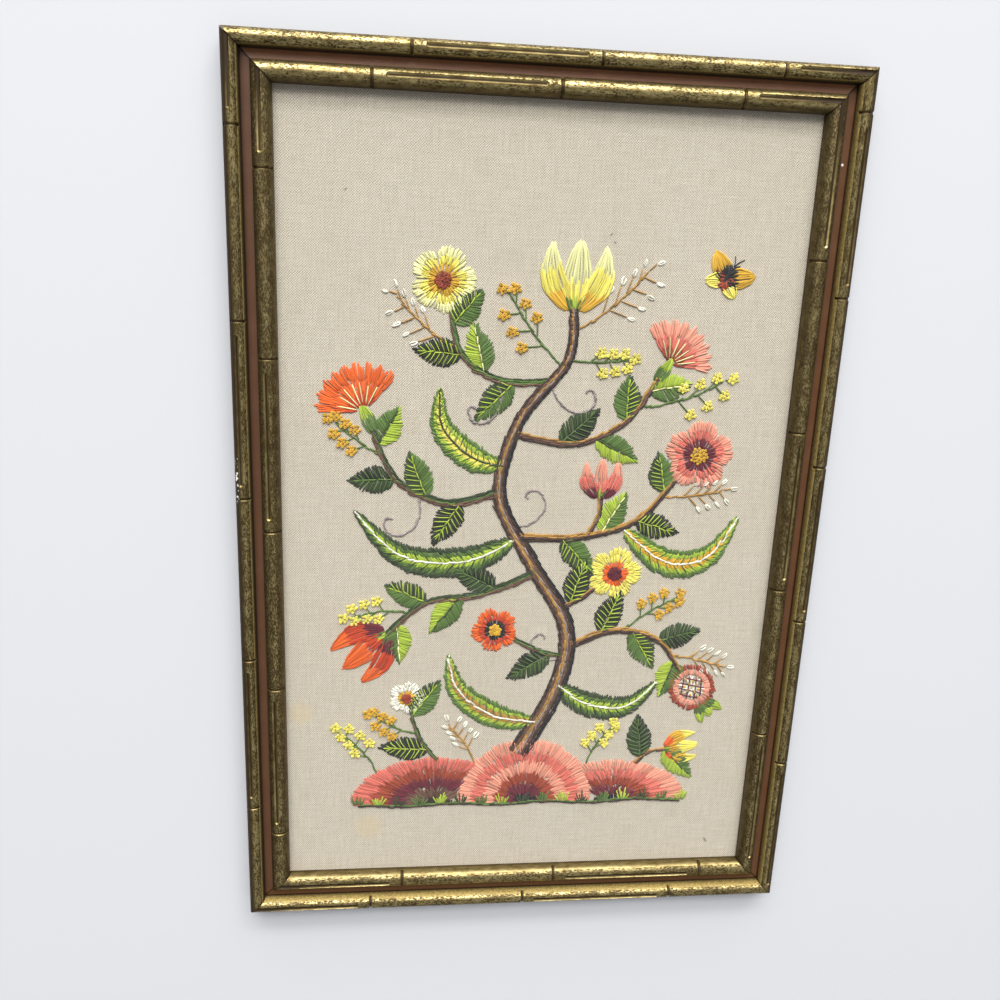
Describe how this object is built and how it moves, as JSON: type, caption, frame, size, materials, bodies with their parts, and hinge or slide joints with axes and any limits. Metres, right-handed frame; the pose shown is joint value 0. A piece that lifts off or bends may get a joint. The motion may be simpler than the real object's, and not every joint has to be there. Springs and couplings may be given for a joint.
{
  "type": "crewel embroidery panel with bamboo-pattern picture frame",
  "caption": "Flat crewel embroidery on stretched linen twill, wool stitching in low relief, set in a mitred gilt bamboo-pattern frame with a rust channel.",
  "frame": {"origin": "middle of the frame's outline, on its flat back", "axes": "+Z out of the embroidered face, +Y towards the panel's top edge, +X to the right seen from the face"},
  "size_m": [0.4, 0.6, 0.019],
  "materials": {
    "gilt_moulding": "gilt wood moulding with dark flecks, worn, with a rust-brown painted channel",
    "linen_twill": "natural linen twill",
    "crewel_wool": "two-ply crewel wool in yellows, oranges, corals, greens and browns",
    "board": "plain pressed board"
  },
  "bodies": {
    "root": {"rail_top": "gilt_moulding", "rail_bottom": "gilt_moulding", "rail_left": "gilt_moulding", "rail_right": "gilt_moulding", "linen_ground": "linen_twill", "mount_board": "board"}
  },
  "joints": []
}
